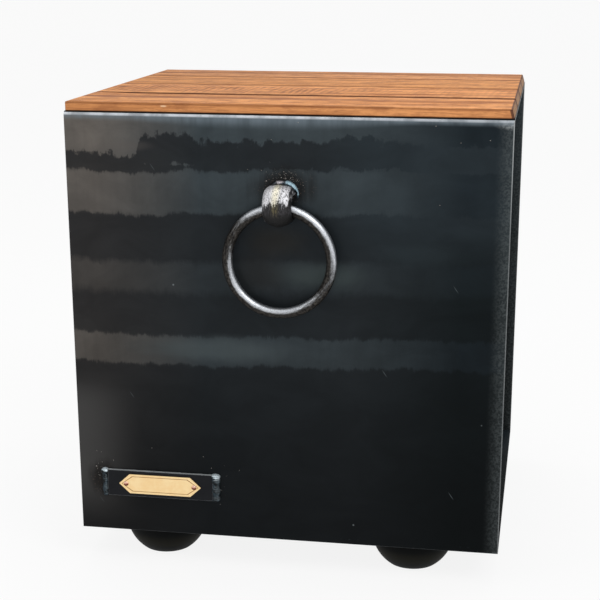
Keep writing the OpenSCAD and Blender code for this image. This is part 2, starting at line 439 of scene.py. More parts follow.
blackSteel = {
    # painted sheen: the mill scale's light and dark tones are painted paler at the left end and darker towards
    # the right, as the sheen fades
    "lightLeft": "635e59", "lightMiddle": "3c4448", "lightRight": "1c2429",
    "darkLeft": "29292a", "darkMiddle": "212528", "darkRight": "12181a",
    "places": (0.06, 0.31, 0.66, 0.90),   # where left ends, middle starts, middle ends and right starts
    "foldBright": "dde3ea", "foldHaze": "78848d", "top": "101314", "sheetEnd": "1c2a2d", "margin": "5a6061",
    "corner": "b4b8b9", "edgeLine": "a9adae", "bareEdge": "a4a8aa", "speck": "8f989a", "scratch": "7c878a",
    "leftGlow": "595857", "soot": "1b1918", "sootGrit": "6d6057", "upperRight": "293136",
    # below, a change is where it starts and ends, then the values before and after it, which are 0 and 1
    # where they aren't given, and a cloud is its scale, detail and roughness
    # painted shade: the next change darkens the sheet towards its foot
    "lowShade": (0.06, 0.42, 0.40, 1.0),  # the sheet gets darker towards its foot
    # the dark bands are paler in the upper right
    "upperRightAlong": (0.01, 0.11), "upperRightUp": (0.34, 0.46), "upperRightAmount": 0.9,
    "smear": ((85, 20, 8), 4, 0.6),
    "patchy": 0.6, "smeared": 0.45,       # how uneven the tone of the bands is in patches and in smears
    # faint cloudy stains over light and dark bands alike
    "stainCloud": ((14, 10, 24), 5, 0.6, 0.8, (2.2, 0, 0)), "stainStep": (0.30, 0.70, 0.88, 1.13),
    # painted light: a pale glow low on the left end of the panel
    "glowAlong": (-0.252, -0.165, 1.0, 0.0), "glowAmount": 0.45,
    "glowUp": (0.03, 0.12, 0.19, 0.245),  # heights between which the glow rises and then fades
    # a lighter, speckled margin along the right end and a paler speckled patch at the top right corner
    "speckleCloud": (420.0, 3, 0.7), "speckleStep": (0.40, 0.62, 0.3, 1.0),
    "marginAlong": (0.230, 0.249), "marginUp": (0.05, 0.5, 0.46, 0.60),
    "cornerPlace": ((0.250, -0.22, 0.537), (0.026, 0.05, 0.011)), "cornerStep": (0.1, 1.0, 0.9, 0.0),
    # cloudy stains on the front panel, and one patch of painted shade: middle, reach, colour, how strong
    "stains": [
        ((0.040, -0.22, 0.362), (0.060, 0.1, 0.018), "4a5453", 0.40),
        # painted shade: the next dark patch, inside the lower left of the handle ring, stands in for the
        # ring's shadow and reflection
        ((-0.030, -0.22, 0.362), (0.040, 0.1, 0.026), "232221", 0.55),
        ((-0.075, -0.22, 0.271), (0.095, 0.1, 0.016), "525b5d", 0.40),
        ((-0.010, -0.22, 0.400), (0.040, 0.1, 0.020), "2b2823", 0.45),
        ((-0.180, -0.22, 0.503), (0.030, 0.1, 0.006), "5a5552", 0.30),
        ((0.150, -0.22, 0.390), (0.050, 0.1, 0.016), "2f383c", 0.35),
    ],
    "stainRagged": 0.9, "stainReach": (0.25, 1.25),
    # middle and reach of the scorched metal round the eye and the strap's left end
    "sootPlaces": [
        ((0.001, -0.22, 0.460), (0.040, 0.1, 0.026)),
        ((-0.222, -0.22, 0.105), (0.018, 0.1, 0.026)),
    ],
    "sootRagged": 0.8, "sootStep": (0.45, 1.15, 0.85, 0.0), "gritAmount": 1.1,
    "grit": {"Stretch": (480, 480, 480), "Size": 0.34, "Share": 0.32},
    "specks": {"Stretch": (62, 62, 62), "Size": 0.09, "Share": 0.03},
    "scratches": {"Stretch": (190, 60, 15), "Turn": (0.0, 0.6, 0.0), "Size": 0.10, "Share": 0.035},
    "speckAmount": 0.7, "scratchAmount": 0.55,
    # painted highlight and sheen: the fold along the top is painted bright as if it caught the sky, with a
    # painted sheen fading below it, while the top plate and the cut ends stay dark
    "face": (0.2165, 0.2173),             # distance from the middle plane at which the panels' faces start
    "fold": (0.5352, 0.5370),             # heights at which the panels start to fold over
    "hazeFrom": (0.03, 0.15, 0.5225, 0.5305), "hazeLeft": (-0.20, -0.06, 0.0065, 0.0),
    "hazeStreaks": (0.30, 0.70),
    "hazeAmount": (0.36, 0.42),           # what the streaks add, and what there is without them
    "glintCloud": ((40, 4, 4), 3, 0.6), "glintStep": (0.38, 0.60, 0.45, 0.95),
    "glintAlong": (0.04, 0.20, 1.0, 0.62),
    "endAlong": (0.2486, 0.2494), "endUp": (0.40, 0.52, 0.35, 0.9),
    # painted shadow: the steel under the boards, the top of the fold and the top plate, is painted dark
    "topUp": (0.5384, 0.5391), "topAmount": 0.97, "cutEnd": (0.6, 0.9, 0.0, 0.9),
    "wear": {"Width": 0.0010, "Breakup": 120.0, "Amount": 0.4},
    "wearUp": (0.3, 0.537, 0.25, 0.55), "wearTop": (0.5375, 0.5385, 1.0, 0.15),
    "lightRough": 0.36, "darkRough": 0.46,
    "markRough": 0.6,                     # of the margin and the specks
    "bump": (0.12, 0.0002),
}


def sheetBase(here, tone):
    own = blackSteel
    x, y, z = axes(here)
    share = spread(x, -box["side"], box["side"])
    shades = []
    for shade in ("dark", "light"):
        named = [own[shade + place] for place in ("Left", "Middle", "Middle", "Right")]
        shades.append(ramp(share, list(zip(own["places"], named))))
    paler = times(rise(x, *own["upperRightAlong"]), rise(z, *own["upperRightUp"]), own["upperRightAmount"])
    shades[0] = layered(shades[0], own, upperRight=paler)
    return shaded(blendColor(tone, *shades), rise(z, *own["lowShade"]))


def makeBlackSteel():
    own = blackSteel
    material, here = newFinish("blackSteel", Metallic=0.5, Specular_IOR_Level=0.1)
    x, y, z = axes(here)
    clouds = placed(mottle, here, Patch=24.0, Tooth=1300.0)
    smear = cloud(here, *own["smear"])
    uneven = times(swayed(1.0, clouds["Patches"], own["patchy"]), swayed(1.0, smear, own["smeared"]))
    toned = maths("MULTIPLY", placed(millScaleBands, here)["Tone"], uneven, clamp=True)
    stain = rise(cloud(here, *own["stainCloud"]), *own["stainStep"])
    color = shaded(sheetBase(here, toned), stain)
    glow = times(rise(x, *own["glowAlong"]), hump(z, *own["glowUp"]), own["glowAmount"])
    speckled = rise(cloud(here, *own["speckleCloud"]), *own["speckleStep"])
    margin = times(rise(x, *own["marginAlong"]), speckled, rise(z, *own["marginUp"]))
    corner = times(rise(around(here, *own["cornerPlace"]), *own["cornerStep"]), speckled)
    color = layered(color, own, leftGlow=glow, margin=margin, corner=corner)
    for place, reach, text, amount in own["stains"]:
        ragged = swayed(around(here, place, reach), clouds["Patches"], own["stainRagged"])
        color = blendColor(fall(ragged, *own["stainReach"], amount), color, text)
    for place, reach in own["sootPlaces"]:
        soot = rise(swayed(around(here, place, reach), smear, own["sootRagged"]), *own["sootStep"])
        grit = times(placed(flecks, here, **own["grit"])["Mask"], soot)
        color = layered(color, own, soot=soot, sootGrit=maths("MULTIPLY", grit, own["gritAmount"], clamp=True))
    specks = placed(flecks, here, **own["specks"])["Mask"]
    scratches = placed(flecks, here, **own["scratches"])["Mask"]
    color = layered(color, own, speck=maths("MULTIPLY", specks, own["speckAmount"], clamp=True),
                    scratch=maths("MULTIPLY", scratches, own["scratchAmount"], clamp=True))
    onFace = rise(maths("ABSOLUTE", y), *own["face"])
    # painted sheen below the fold and a painted highlight along it
    hazeFrom = plus(rise(x, *own["hazeFrom"]), rise(x, *own["hazeLeft"]))
    streaks = scaled(rise(smear, *own["hazeStreaks"]), *own["hazeAmount"])
    haze = times(rise(z, hazeFrom, own["fold"][1]), onFace, streaks)
    glint = times(rise(cloud(here, *own["glintCloud"]), *own["glintStep"]), rise(x, *own["glintAlong"]))
    glint = times(rise(z, *own["fold"]), onFace, glint)
    # painted highlight: a pale line down the right end of the panel
    endLine = times(rise(x, *own["endAlong"]), onFace, rise(z, *own["endUp"]))
    worn = placed(edgeWear, here, **own["wear"])["Mask"]
    worn = times(worn, rise(z, *own["wearUp"]), rise(z, *own["wearTop"]))
    cutEnd = rise(maths("ABSOLUTE", axes(normalAt(here))[0]), *own["cutEnd"])
    color = layered(color, own, foldHaze=haze, foldBright=glint, edgeLine=endLine,
                    top=times(rise(z, *own["topUp"]), own["topAmount"]), sheetEnd=cutEnd, bareEdge=worn)
    rough = blendValue(toned, own["darkRough"], own["lightRough"])
    rough = blendValue(maths("MAXIMUM", margin, specks), rough, own["markRough"])
    return completed(material, color, rough, clouds["Tooth"], own["bump"])


baseSteel = {
    "dust": "3a3836", "rough": 0.45, "bump": (0.15, 0.0002),
    "bandsFrom": 0.28,                    # the sheet's bands lie flat here, from this height up
}


def makeBaseSteel():
    material, here = newFinish("baseSteel", Metallic=0.4, Specular_IOR_Level=0.12)
    turned = stretch(here, (1, 1, 1), (0, 0, baseSteel["bandsFrom"]), (math.pi / 2, 0, 0))
    clouds = placed(mottle, here, Patch=18.0, Tooth=1200.0)
    color = sheetBase(turned, times(placed(millScaleBands, turned)["Tone"], 0.6))
    color = layered(color, baseSteel, dust=rise(clouds["Patches"], 0.45, 0.75, 0.0, 0.5))
    worn = placed(edgeWear, here, Width=0.0012, Breakup=160.0, Amount=0.3)["Mask"]
    color = layered(color, blackSteel, bareEdge=times(worn, 0.5))
    rough = scaled(clouds["Patches"], 0.2, baseSteel["rough"])
    return completed(material, color, rough, clouds["Tooth"], baseSteel["bump"])


footSteel = {
    "dark": "0a0c0c", "brown": "201f19", "bare": "2c2e2f", "rough": 0.48, "bump": (0.2, 0.0003),
    "waist": (0.006, 0.015, 0.019, 0.030),    # heights between which a foot has a browner painted sheen round its bulge
}


def makeFootSteel():
    material, here = newFinish("footSteel", Metallic=0.0, Specular_IOR_Level=0.05)
    clouds = placed(mottle, here, Patch=45.0, Tooth=800.0)
    # painted highlight: a browner sheen round the bulge of the foot
    waist = times(hump(axes(here)[2], *footSteel["waist"]), scaled(clouds["Patches"], 0.9, 0.2))
    color = blendColor(waist, footSteel["dark"], footSteel["brown"])
    worn = placed(edgeWear, here, Width=0.0015, Breakup=220.0, Amount=0.5)["Mask"]
    color = layered(color, footSteel, bare=times(worn, 0.25))
    rough = scaled(clouds["Patches"], 0.2, footSteel["rough"])
    return completed(material, color, rough, clouds["Tooth"], footSteel["bump"])


strapSteel = {"dark": "17181b", "light": "222326", "bare": "dde2e5", "rough": 0.32, "bump": (0.15, 0.0002)}


def makeStrapSteel():
    material, here = newFinish("strapSteel", Metallic=0.5, Specular_IOR_Level=0.12)
    clouds = placed(mottle, here, Patch=60.0, Tooth=1100.0)
    color = blendColor(clouds["Patches"], strapSteel["dark"], strapSteel["light"])
    worn = placed(edgeWear, here, Width=0.0009, Breakup=90.0, Amount=0.5)["Mask"]
    # painted highlight: the strap's upward faces are painted pale, together with its worn edges
    up = times(rise(axes(normalAt(here))[2], 0.3, 0.9), scaled(clouds["Patches"], 0.5, 0.55))
    color = layered(color, strapSteel, bare=maths("MAXIMUM", times(worn, 0.22), up))
    rough = scaled(clouds["Patches"], 0.2, strapSteel["rough"])
    return completed(material, color, rough, clouds["Tooth"], strapSteel["bump"])


weldMetal = {
    # painted highlight: the side of a bead that faces the sky is painted bright. For each kind of bead: that
    # painted bright side, its tone further left, heat-blued side and sooty side, then how far it has to face
    # the sky to be painted bright, the height from which it is painted bright and how dark its gap is
    "eyeWeld": {"bright": "b9d8e6", "left": "b5b0b4", "blue": "455a66", "dark": "14171b",
                "facing": (0.34, 0.68), "heights": (0.450, 0.455), "gap": 0.85},
    "strapWeld": {"bright": "e0eef5", "left": "e0eef5", "blue": "26333a", "dark": "0f1315",
                  "facing": (0.28, 0.60), "heights": (0.1105, 0.1140), "gap": 0.0},
    "spatter": {"bright": "c2bcb5", "left": "c2bcb5", "blue": "37393a", "dark": "191919",
                "facing": (0.20, 0.70), "heights": (0.0, 0.01), "gap": 0.0},
    "dullWeld": {"bright": "4c5459", "left": "4c5459", "blue": "2b3338", "dark": "121517",
                 "facing": (0.40, 0.95), "heights": (0.0, 0.01), "gap": 0.0},
    "leftOf": (0.000, 0.004),
    "gapPlace": (-0.0012, 0.0004, 0.0014, 0.0034),    # the dark break between two dabs of the eye's bead
    "lowGlow": 0.09,                      # what is left of the brightness below those heights
    "grit": (620.0, 4, 0.6), "gritReach": 0.6,    # scale, detail and roughness, how far it breaks the light
    "soot": (240.0, 3, 0.6), "sootStep": (0.40, 0.60), "sootLoss": -0.25, "sootRough": 0.2,
    "rough": 0.36, "bump": (0.35, 0.0004),
}


def makeWeldMetal(kind):
    own, every = weldMetal[kind], weldMetal
    material, here = newFinish(kind, Metallic=0.6, Specular_IOR_Level=0.3)
    x, y, z = axes(here)
    facing = placed(skywardSide, here, Normal=normalAt(here))["Facing"]
    grit = cloud(here, *every["grit"])
    soot = rise(cloud(here, *every["soot"]), *every["sootStep"])
    lit = rise(swayed(facing, grit, every["gritReach"]), *own["facing"])
    lit = times(lit, scaled(soot, every["sootLoss"], 1.0), rise(z, *own["heights"], every["lowGlow"], 1.0))
    across = times(x, frontward(y))
    lit = times(lit, scaled(hump(across, *every["gapPlace"]), -own["gap"], 1.0))
    bright = blendColor(rise(across, *every["leftOf"]), own["left"], own["bright"])
    color = blendColor(lit, blendColor(soot, own["blue"], own["dark"]), bright)
    rough = scaled(soot, every["sootRough"], every["rough"])
    return completed(material, color, rough, grit, every["bump"])


ringSteel = {
    "bright": "e4e8ee", "dark": "1e1d1d", "warm": "4b4844",
    "centre": 0.380,                      # height of the ring's middle
    "offset": 0.003 / 0.234,              # how far its middle is to the left, over how far it is in front
    "grain": (5.0, 700.0, 700.0),         # how fine it is round the ring, across the bar and through it
    "lit": (0.02, 0.86, -0.10, 1.0),      # painted highlight: how far the bar has to face the sky to be painted bright, the lift below and above that
    "behind": (0.0, 0.3),                 # how far a side has to face the panel to be looked at from there
    "wear": 0.06,                         # the upper left is rubbed the most, the lower right the least
    "smoked": {"toward": 165.0, "reach": (0.35, 0.95), "drop": -0.24},    # where its scale is still whole
    "warmStep": (0.35, 0.70),             # the patches between which the dark parts get warmer
    "rough": 0.38, "darkRough": 0.53, "bump": (0.25, 0.0003),
}


def makeRingSteel():
    own, smoked = ringSteel, ringSteel["smoked"]
    material, here = newFinish("ringSteel", Metallic=1.0)
    x, y, z = axes(here)
    acrossRing = scaled(y, -own["offset"], x)
    upRing = minus(z, own["centre"])
    radius = maths("SQRT", scaled(acrossRing, acrossRing, times(upRing, upRing)))
    angle = maths("ARCTAN2", acrossRing, times(upRing, -1.0))
    along = joined(*(times(place, fine) for place, fine in zip((angle, radius, y), own["grain"])))
    facing = placed(skywardSide, here, Normal=normalAt(here))["Facing"]
    front = frontward(y)
    # the side that lies against the panel gets the same rubbing and painted highlight, which show when the
    # ring is lifted over
    nx, ny, nz = axes(normalAt(here))
    behind = placed(skywardSide, here, Normal=joined(nx, times(ny, -1.0), times(nz, -1.0)))["Facing"]
    facing = maths("MAXIMUM", facing, times(behind, rise(times(ny, front), *own["behind"])))
    # painted highlight: the ring is lifted to bright metal where it faces the sky
    lift = rise(facing, *own["lit"])
    worn = maths("DIVIDE", minus(upRing, times(acrossRing, front)), radius)
    lift = scaled(worn, own["wear"], lift)
    toward = math.radians(smoked["toward"])
    leaning = scaled(upRing, math.sin(toward), times(acrossRing, front, math.cos(toward)))
    fromSmoke = maths("ARCCOSINE", maths("DIVIDE", leaning, radius))
    lift = plus(lift, rise(fromSmoke, *smoked["reach"], smoked["drop"], 0.0))
    skin = placed(rubbedBlack, here, Along=along, Lift=lift, Soft=0.85, Blotch=620.0, Contrast=0.55)
    patches = placed(mottle, here, Patch=380.0, Tooth=900.0)["Patches"]
    dark = blendColor(rise(patches, *own["warmStep"]), own["dark"], own["warm"])
    color = layered(dark, own, bright=skin["Bright"])
    rough = blendValue(skin["Bright"], own["darkRough"], own["rough"])
    return completed(material, color, rough, skin["Height"], own["bump"])


eyeSteel = {
    "bright": "e4e4e8", "cream": "fbf5e0", "middle": "39383b", "dark": "0e0e0e", "olive": "5a533c",
    "offset": 0.003 / 0.236,              # how far its middle is to the left, over how far it is in front
    "halfWidth": 0.016,
    # how bright the streaks are from the left edge to the right one
    "streaks": [(0.02, 1.35), (0.14, 1.20), (0.25, 0.30), (0.37, 1.0), (0.54, 1.0), (0.63, 0.35),
                (0.78, 0.70), (0.90, 1.1)],
    "streakLift": (0.95, -0.66),
    "wobble": ((60, 60, 90), 3, 0.6),     # how streaks, fade and heat tint wander, and by how much
    "streakWobble": 0.16, "fadeWobble": 0.010, "heatWobble": 0.003,
    # below, changes and clouds are written as for blackSteel
    "fade": (0.4370, 0.4540, -0.66, 1.15),    # painted shade and highlight: the heights between which the painted dark lower half fades into the bright upper half
    "heat": (0.2280, 0.2345, -1.3, 0.0),  # how far from the middle plane the weld's heat tint fades
    "heatUp": (0.4540, 0.4590),           # the heights between which that tint starts
    "flare": (0.0128, 0.0142, 0.0, -1.1),    # beyond this the bar flares into the panel and stays dark
    "grain": (620, 60, 90),
    "ridgeLeft": 0.0005,
    "crown": (0.0005, 0.0065),            # how far from the ridge the painted cream highlight reaches
    "lower": (0.430, 0.443),              # the heights between which the dark half is painted blacker as shade, going down
    "drawn": ((520, 60, 110), 4, 0.65), "drawnStep": (0.42, 0.60, 0.25, 1.6), "oliveAmount": 0.8,
    "pits": ((640, 480, 420), 3, 0.7), "pitStep": (0.51, 0.60), "pitSide": (0.45, 0.60, 0.45, 0.9),
    "rough": 0.45, "darkRough": 0.57, "bump": (0.35, 0.0004),
}


def makeEyeSteel():
    own = eyeSteel
    material, here = newFinish("eyeSteel", Metallic=0.5)
    x, y, z = axes(here)
    across = times(scaled(y, -own["offset"], x), frontward(y))
    share = spread(across, -own["halfWidth"], own["halfWidth"])
    wobble = minus(cloud(here, *own["wobble"]), 0.5)
    streaks = ramp(scaled(wobble, own["streakWobble"], share), own["streaks"])
    lift = plus(rise(scaled(wobble, own["fadeWobble"], z), *own["fade"]), scaled(streaks, *own["streakLift"]))
    heat = rise(scaled(wobble, own["heatWobble"], maths("ABSOLUTE", y)), *own["heat"])
    lift = plus(plus(lift, times(heat, rise(z, *own["heatUp"]))), rise(across, *own["flare"]))
    along = stretch(here, own["grain"])
    skin = placed(rubbedBlack, here, Along=along, Lift=lift, Soft=0.75, Blotch=560.0, Contrast=2.0)
    # painted highlight: the crown is painted cream along the ridge, with a painted olive sheen low down the
    # middle
    crown = fall(maths("ABSOLUTE", plus(across, own["ridgeLeft"])), *own["crown"])
    lower = times(rise(z, *own["lower"]), rise(cloud(here, *own["drawn"]), *own["drawnStep"]))
    dark = blendColor(lower, own["dark"], own["middle"])
    dark = layered(dark, own, olive=times(crown, lower, own["oliveAmount"]))
    color = blendColor(skin["Bright"], dark, blendColor(crown, own["bright"], own["cream"]))
    pits = times(rise(cloud(here, *own["pits"]), *own["pitStep"]), rise(share, *own["pitSide"]))
    color = layered(color, own, dark=pits)
    rough = blendValue(skin["Bright"], own["darkRough"], own["rough"])
    return completed(material, color, rough, skin["Height"], own["bump"])


screwSteel = {"light": "9a9d9f", "dark": "55585a", "rough": 0.25, "bump": (0.2, 0.0001)}


def makeScrewSteel():
    material, here = newFinish("screwSteel", Metallic=0.9)
    clouds = placed(mottle, here, Patch=220.0, Tooth=1500.0)
    color = blendColor(clouds["Patches"], screwSteel["dark"], screwSteel["light"])
    rough = scaled(clouds["Tooth"], 0.3, screwSteel["rough"])
    return completed(material, color, rough, clouds["Tooth"], screwSteel["bump"])


tagBrass = {
    "light": "ffe4b0", "deep": "f5cc8f", "tarnish": "96602f", "rough": 0.24, "bump": (0.25, 0.0001),
    "face": -0.2252, "sunk": (0.00004, 0.00022),    # its face and how deep behind it the border is dark
}


def makeTagBrass():
    material, here = newFinish("tagBrass", Metallic=0.75, Specular_IOR_Level=0.3)
    brushed = cloud(here, (60, 60, 2600), 3, 0.6)
    patchy = rise(placed(mottle, here, Patch=75.0, Tooth=1600.0)["Patches"], 0.34, 0.66)
    color = blendColor(scaled(patchy, 0.40, times(brushed, 0.35)), tagBrass["light"], tagBrass["deep"])
    sunk = rise(axes(here)[1], *[tagBrass["face"] + depth for depth in tagBrass["sunk"]])
    color = layered(color, tagBrass, tarnish=times(sunk, 0.75))
    return completed(material, color, scaled(brushed, 0.25, tagBrass["rough"]), brushed, tagBrass["bump"])


rivetCopper = {
    # painted shade and highlight: the head's colours run from the shaded underside to the lit top
    "shades": [(0.05, "56241a"), (0.50, "b2674e"), (0.95, "f6cdb8")],    # from underneath to the top
    "rough": 0.22, "bump": (0.2, 0.0001),
}


def makeRivetCopper():
    material, here = newFinish("rivetCopper", Metallic=0.6)
    clouds = placed(mottle, here, Patch=260.0, Tooth=1700.0)
    up = swayed(axes(normalAt(here))[2], clouds["Patches"], 0.3)
    # painted shade and highlight by how far the head faces up
    color = ramp(rise(up, -0.42, 0.55), rivetCopper["shades"])
    rough = scaled(clouds["Tooth"], 0.2, rivetCopper["rough"])
    return completed(material, color, rough, clouds["Tooth"], rivetCopper["bump"])


# one entry for each board: its near and far side, its place in the grain, its colours, how much figure it
# shows, how dark the dirt and painted shade in the seams along its near and far edges are, how far its far
# edge has cupped down, and its long dark streak: place, slant, how strong
boards = {
    "slat_front": {
        "near": -0.218, "far": -0.106, "seed": 1.0, "light": "fab06f", "mid": "eaa061", "dark": "7c4426",
        "figure": 0.2, "seams": (0.0, 0.68), "cupped": 0.0012, "streak": (-0.154, -0.008, 0.62)},
    "slat_second": {
        "near": -0.105, "far": 0.007, "seed": 2.3, "light": "f8af6e", "mid": "e69d60", "dark": "7a4224",
        "figure": 1.0, "seams": (0.74, 0.32), "cupped": 0.0002, "streak": (-0.074, 0.0, 0.12)},
    "slat_third": {
        "near": 0.008, "far": 0.120, "seed": 4.1, "light": "eca564", "mid": "da9558", "dark": "7f4a2a",
        "figure": 0.45, "seams": (0.34, 0.34), "cupped": 0.0002, "streak": (0.080, 0.02, 0.08)},
    "slat_rear": {
        "near": 0.121, "far": 0.218, "seed": 6.6, "light": "eba76e", "mid": "d8945d", "dark": "744226",
        "figure": 0.3, "seams": (0.36, 0.0), "cupped": 0.0, "streak": (0.185, 0.055, 0.48)},
}
boardFinish = {
    "bottom": 0.540, "top": 0.5505, "ends": (-0.2485, 0.2498), "cornerCut": 0.002, "chamfer": 0.0022,
    "endSlope": 0.003,                    # how much shorter a board is along its top
    "chamferTone": "6e3f24", "groove": "43251a", "endGrain": "80603f", "underEdge": "2a170e",
    "knot": "4a291b", "pale": "f0c9a0", "side": "b9794e", "arris": "4f2f26",
    # how dark each layer of the grain is
    "grain": (("Clouds", 0.44), ("Streaks", 0.50), ("Hairs", 0.36), ("Pores", 0.45)),
    "knotPlace": (-0.2339, -0.0394, 0.5505), "knotReach": (0.012, 0.006, 0.02),
    "knotPull": -0.004,                   # how far the grain bends round the knot
    "palePlace": ((-0.1352, -0.218, 0.547), (0.0045, 0.003, 0.0012)),
    "figurePlace": ((-0.10, -0.050, 0.55), (0.19, 0.048, 0.05)),
    "streakReach": (0.004, 0.014),        # half width of the long dark streak in a board
    "chamferFrom": (0.0027, 0.0018),      # how far under the top a chamfer starts to darken
    "rough": 0.52, "bump": (0.35, 0.0004),
}


def makeBoardWood(node):
    own, shared = boards[node], boardFinish
    material, here = newFinish(node + "Wood", Specular_IOR_Level=0.12)
    x, y, z = axes(here)
    nx, ny, nz = axes(normalAt(here))
    fromKnot = around(here, shared["knotPlace"], shared["knotReach"])
    knotSide = maths("SIGN", minus(y, shared["knotPlace"][1]))
    pull = times(fall(fromKnot, 0.3, 3.0), knotSide, shared["knotPull"])
    grain = placed(boardGrain, joined(x, plus(y, pull), z), Seed=own["seed"])
    color = blendColor(grain["Bands"], own["light"], own["mid"])
    for part, amount in shared["grain"]:
        color = layered(color, own, dark=times(grain[part], amount))
    figured = rise(around(here, *shared["figurePlace"]), 0.5, 1.15, 1.0, 0.25)
    color = layered(color, own, dark=times(grain["Figure"], figured, own["figure"], 0.60))
    place, slant, amount = own["streak"]
    away = swayed(maths("ABSOLUTE", minus(scaled(x, -slant, y), place)), grain["Bands"], 0.005)
    streak = times(fall(away, *shared["streakReach"], amount), rise(x, -box["side"], box["side"], 1.1, 0.8))
    color = layered(color, own, dark=streak)
    # the sides are darker, the ends took more of the oil, the chamfers are darkened by oil and painted shade,
    # and dirt and painted shade darken the seams
    fromNear, fromFar = minus(y, own["near"]), minus(own["far"], y)
    fromEdge = maths("MINIMUM", fromNear, fromFar)
    upward = times(minus(z, shared["bottom"]), 1 / (shared["top"] - shared["bottom"]))
    fromEnd = minus(shared["ends"][1], scaled(upward, shared["endSlope"], x))
    chamfered = rise(z, *[shared["top"] - depth for depth in shared["chamferFrom"]])
    chamfered = times(chamfered, fall(fromEdge, 0.0012, 0.0026), 0.6)
    atEnd = times(fall(fromEnd, 0.0004, 0.0012), fall(fromFar, 0.003, 0.040, 0.75))
    color = layered(
        color, shared, side=rise(maths("ABSOLUTE", ny), 0.8, 0.95, 0.0, 0.45),
        endGrain=rise(maths("ABSOLUTE", nx), 0.4, 0.6, 0.0, 0.85), chamferTone=chamfered, arris=atEnd)
    for distance, amount in zip((fromNear, fromFar), own["seams"]):
        color = layered(color, shared, groove=fall(distance, 0.0016, 0.0032, amount))
    cutLine = maths("ABSOLUTE", minus(plus(fromEdge, fromEnd), shared["cornerCut"]))
    endLine = times(fall(fromEnd, 0.0006, 0.0018), rise(upward, 0.80, 0.92))
    arris = times(maths("MAXIMUM", fall(cutLine, 0.0004, 0.0015), endLine), 0.85)
    # painted shadow: the bottom edge of a board is painted near black where it sits over the steel
    under = fall(z, shared["bottom"] + 0.0003, shared["bottom"] + 0.0017, 0.96)
    color = layered(color, shared, arris=arris, underEdge=under, knot=fall(fromKnot, 0.3, 0.9, 0.85))
    # painted light: the boards are painted brighter towards their right ends
    color = shaded(color, rise(x, -box["side"], box["side"], 0.99, 1.13))
    color = layered(color, shared, pale=fall(around(here, *shared["palePlace"]), 0.5, 1.0, 0.9))
    height = scaled(grain["Pores"], -0.6, times(grain["Streaks"], -0.4))
    rough = scaled(grain["Streaks"], 0.15, shared["rough"])
    return completed(material, color, rough, height, shared["bump"])


finishes = {
    "steel_shell": makeBlackSteel(),
    "base_plate": makeBaseSteel(),
    "slat_screws": makeScrewSteel(),
    "label_strap": makeStrapSteel(),
    "tag_plate": makeTagBrass(),
    "tag_rivets": makeRivetCopper(),
    "base_welds": makeWeldMetal("dullWeld"),
    "strap_welds": makeWeldMetal("strapWeld"),
    "spatter": makeWeldMetal("spatter"),
    "eye_welds_front": makeWeldMetal("eyeWeld"),
    "ring_front": makeRingSteel(),
    "eye_front": makeEyeSteel(),
    "foot_front_left": makeFootSteel(),
}
finishes["foot_welds"] = finishes["base_welds"]
for front in ("eye_welds", "ring", "eye"):
    finishes[front + "_rear"] = finishes[front + "_front"]
for foot in ("front_right", "rear_left", "rear_right"):
    finishes["foot_" + foot] = finishes["foot_front_left"]
for board in boards:
    finishes[board] = makeBoardWood(board)
for node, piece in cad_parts.items():
    for own in piece.material_slots:
        own.material = finishes[node]
print("finishes made and given to", len(finishes), "CAD pieces")


# Pieces that take the place of plain CAD solids


def addPiece(name, mesh, finish, body, slot, *replaced, sharp=False):
    points, faces = mesh
    data = bpy.data.meshes.new(name)
    data.from_pydata(points, [], faces)
    data.validate()
    data.shade_smooth()
    if sharp:
        data.set_sharp_from_angle(angle=math.radians(35))
    data.materials.append(finish)
    piece = bpy.data.objects.new(name, data)
    bpy.context.scene.collection.objects.link(piece)
    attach(piece, body)
    if replaced:
        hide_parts(*replaced)


def turnedRound(mesh):
    # the rear handle is the front one turned half round the middle of the seat
    points, faces = mesh
    return [Vector((-x, -y, z)) for x, y, z in points], faces


def addPair(name, mesh, finish, bodies, slot, node, sharp=False):
    for side, own, body in (("front", mesh, bodies[0]), ("rear", turnedRound(mesh), bodies[1])):
        addPiece(name + side.title(), own, finish, body, slot, node + "_" + side, sharp=sharp)


def facesBetween(rows, around, closed=False, flipped=False):
    # faces between rows of points that go round, with a lid on each end unless the rows close up
    faces = []
    for row in range(rows if closed else rows - 1):
        here, there = row * around, (row + 1) % rows * around
        for step in range(around):
            beside = (step + 1) % around
            faces.append((here + step, there + step, there + beside, here + beside))
    if not closed:
        faces += [tuple(range(around)), tuple(range(rows * around - 1, (rows - 1) * around - 1, -1))]
    return [(face[0], *reversed(face[1:])) for face in faces] if flipped else faces


def joinedMeshes(parts):
    points, faces = [], []
    for morePoints, moreFaces in parts:
        start = len(points)
        points += morePoints
        faces += [tuple(corner + start for corner in face) for face in moreFaces]
    return points, faces


def line(start, end, step):
    count = max(2, round((end - start).length / step))
    return [start.lerp(end, index / count) for index in range(count + 1)]


def arc(middle, radius, turns, up=1):
    # points on the panel round a middle, at degrees from straight up, or from straight down where up is -1
    points = []
    for turn in turns:
        angle = math.radians(turn)
        points.append(Vector(middle) + Vector((math.sin(angle), 0, up * math.cos(angle))) * radius)
    return points


def swell(share, place, reach):
    return math.exp(-((share - place) / reach) ** 2)


weldBead = {
    "around": 14,                         # points round a bead
    "tip": 0.02,                          # what is left of its width at its very ends
    "arch": 0.45,                         # how far the sides of a ripple lag behind its middle, in ripples
    "grain": 260.0,                       # how fine its roughness is, in cells to the metre
    "seedStep": 7.3,
}


